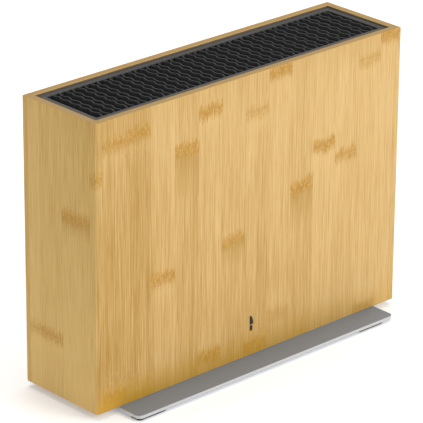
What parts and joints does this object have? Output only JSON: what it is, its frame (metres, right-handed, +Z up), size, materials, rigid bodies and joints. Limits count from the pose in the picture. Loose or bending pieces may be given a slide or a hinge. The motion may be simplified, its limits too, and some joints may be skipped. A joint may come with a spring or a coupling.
{
  "type": "knife block",
  "caption": "Bamboo box on a steel base plate with rubber feet, holding a lift-out plastic insert of wavy slats that grip knife blades stood upright between them.",
  "frame": {"origin": "on the surface the block stands on, under the middle of the block", "axes": "+X along the block's length to its right end, +Y to its back, +Z up"},
  "size_m": [0.34, 0.136, 0.255],
  "materials": {
    "bamboo": "edge-glued bamboo strips with upright grain, satin oil finish",
    "stainless_plate": "satin stainless steel, brighter on its edges",
    "screw_steel": "zinc-plated wood screws",
    "black_rubber": "matt black rubber pads",
    "bezel_plastic": "dark grey moulded plastic, fine texture",
    "insert_plastic": "black moulded plastic",
    "slat_plastic": "black flexible plastic with a soft sheen"
  },
  "bodies": {
    "block": {"front_board": "bamboo", "back_board": "bamboo", "left_board": "bamboo", "right_board": "bamboo", "bottom_board": "bamboo", "base_plate": "stainless_plate", "base_screws": "screw_steel", "rubber_feet": "black_rubber"},
    "insert": {"insert_bezel": "bezel_plastic", "insert_tray": "insert_plastic", "front_comb": "insert_plastic", "back_comb": "insert_plastic", "slat_01": "slat_plastic", "slat_02": "slat_plastic", "slat_03": "slat_plastic", "slat_04": "slat_plastic", "slat_05": "slat_plastic", "slat_06": "slat_plastic", "slat_07": "slat_plastic", "slat_08": "slat_plastic", "slat_09": "slat_plastic", "slat_10": "slat_plastic", "slat_11": "slat_plastic", "slat_12": "slat_plastic", "slat_13": "slat_plastic", "slat_14": "slat_plastic", "slat_15": "slat_plastic", "slat_16": "slat_plastic", "slat_17": "slat_plastic", "slat_18": "slat_plastic", "slat_19": "slat_plastic", "slat_20": "slat_plastic", "slat_21": "slat_plastic", "slat_22": "slat_plastic", "slat_23": "slat_plastic", "slat_24": "slat_plastic", "slat_25": "slat_plastic", "slat_26": "slat_plastic", "slat_27": "slat_plastic", "slat_28": "slat_plastic", "slat_29": "slat_plastic", "slat_30": "slat_plastic", "slat_31": "slat_plastic", "slat_32": "slat_plastic", "slat_33": "slat_plastic", "slat_34": "slat_plastic", "slat_35": "slat_plastic", "slat_36": "slat_plastic", "slat_37": "slat_plastic", "slat_38": "slat_plastic", "slat_39": "slat_plastic", "slat_40": "slat_plastic", "slat_41": "slat_plastic", "slat_42": "slat_plastic", "slat_43": "slat_plastic", "slat_44": "slat_plastic", "slat_45": "slat_plastic", "slat_46": "slat_plastic", "slat_47": "slat_plastic"}
  },
  "joints": [
    {"name": "insert_lift", "type": "slide", "parent": "block", "child": "insert", "axis": [0, 0, 1], "range_m": [0, 0.245]}
  ]
}
